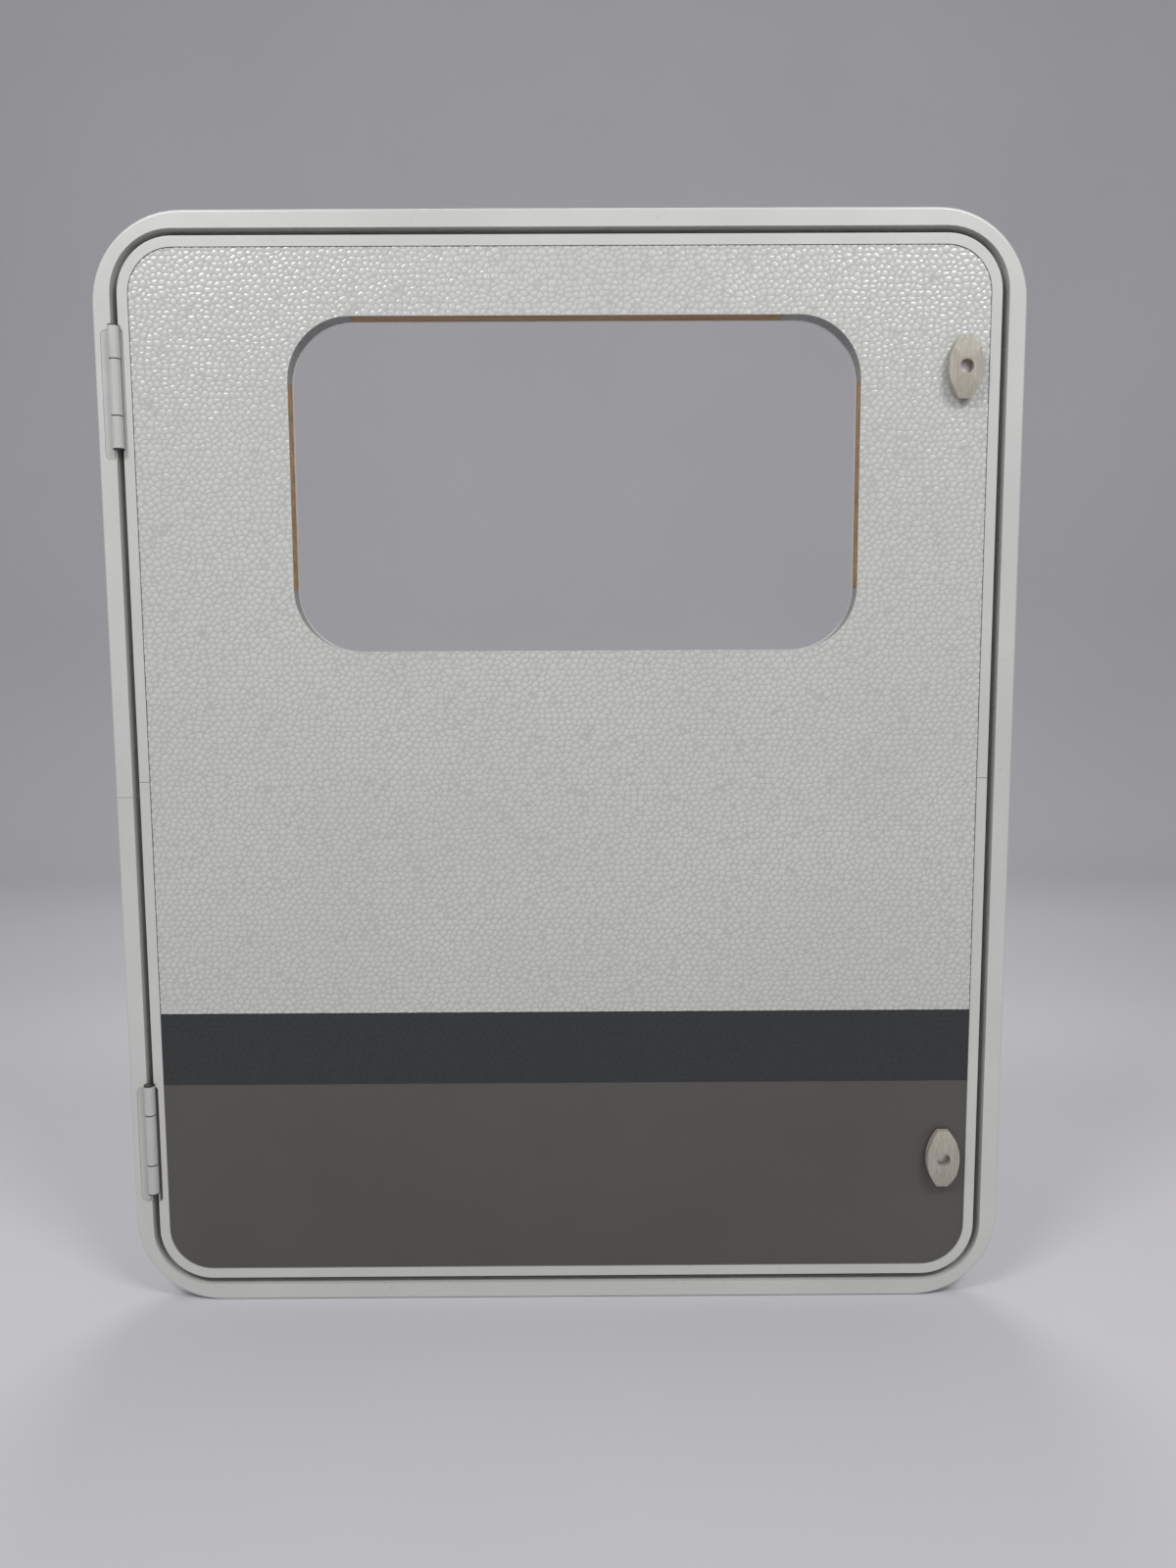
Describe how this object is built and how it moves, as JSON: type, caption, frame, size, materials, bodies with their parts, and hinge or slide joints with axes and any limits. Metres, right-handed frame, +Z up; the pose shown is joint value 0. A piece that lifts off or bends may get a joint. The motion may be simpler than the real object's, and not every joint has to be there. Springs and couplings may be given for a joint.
{
  "type": "service hatch for a caravan or camper",
  "caption": "Service hatch for a caravan wall: bent aluminium frame and a side-hung insulated leaf with a window cut-out and turn knobs.",
  "frame": {"origin": "on the flat back of the bottom flange, at the middle of its length and width", "axes": "+X to the right seen from outside, +Y into the vehicle, square to the wall, +Z up"},
  "size_m": [1, 0.0629, 1.22],
  "materials": {
    "coated_aluminium": "white powder coat, satin",
    "hammered_skin": "hammered white coil-coated sheet",
    "stripe_film": "dark film over the hammered sheet",
    "smooth_skin": "smooth taupe coil-coated sheet",
    "seal_rubber": "matt",
    "hinge_metal": "light grey coat",
    "bare_steel": "zinc plated",
    "black_nylon": "matt",
    "foam": "grey insulating foam",
    "batten_wood": "raw sawn timber",
    "inner_board": "board with pale foil",
    "knob_plastic": "beige-grey moulded plastic",
    "case_plastic": "white moulded plastic"
  },
  "bodies": {
    "frame": {"outer_frame": "coated_aluminium", "frame_seal": "seal_rubber", "upper_hinge_frame_leaf": "hinge_metal", "lower_hinge_frame_leaf": "hinge_metal", "upper_hinge_pin": "bare_steel", "lower_hinge_pin": "bare_steel", "upper_hinge_washers": "black_nylon", "lower_hinge_washers": "black_nylon"},
    "door": {"door_profile_upper": "coated_aluminium", "door_profile_lower": "coated_aluminium", "upper_skin": "hammered_skin", "stripe_film": "stripe_film", "lower_skin": "smooth_skin", "foam_core": "foam", "window_batten_top": "batten_wood", "window_batten_bottom": "batten_wood", "window_batten_left": "batten_wood", "window_batten_right": "batten_wood", "inner_skin": "inner_board", "upper_hinge_door_leaf": "hinge_metal", "lower_hinge_door_leaf": "hinge_metal", "upper_latch_sleeve": "knob_plastic", "lower_latch_sleeve": "knob_plastic", "upper_latch_case": "case_plastic", "lower_latch_case": "case_plastic", "edge_screws": "coated_aluminium"},
    "upper_latch": {"upper_latch_knob": "knob_plastic", "upper_latch_spindle": "bare_steel", "upper_latch_tongue": "bare_steel"},
    "lower_latch": {"lower_latch_knob": "knob_plastic", "lower_latch_spindle": "bare_steel", "lower_latch_tongue": "bare_steel"}
  },
  "joints": [
    {"name": "door_hinge", "type": "hinge", "parent": "frame", "child": "door", "pos_m": [-0.47705, -0.007, 0.6004], "axis": [0, 0, -1], "range_deg": [0, 170]},
    {"name": "upper_latch_turn", "type": "hinge", "parent": "door", "child": "upper_latch", "pos_m": [0.4333, 0, 1.0434], "axis": [0, -1, 0], "range_deg": [0, 90]},
    {"name": "lower_latch_turn", "type": "hinge", "parent": "door", "child": "lower_latch", "pos_m": [0.4333, 0, 0.1604], "axis": [0, -1, 0], "range_deg": [0, 90]}
  ]
}
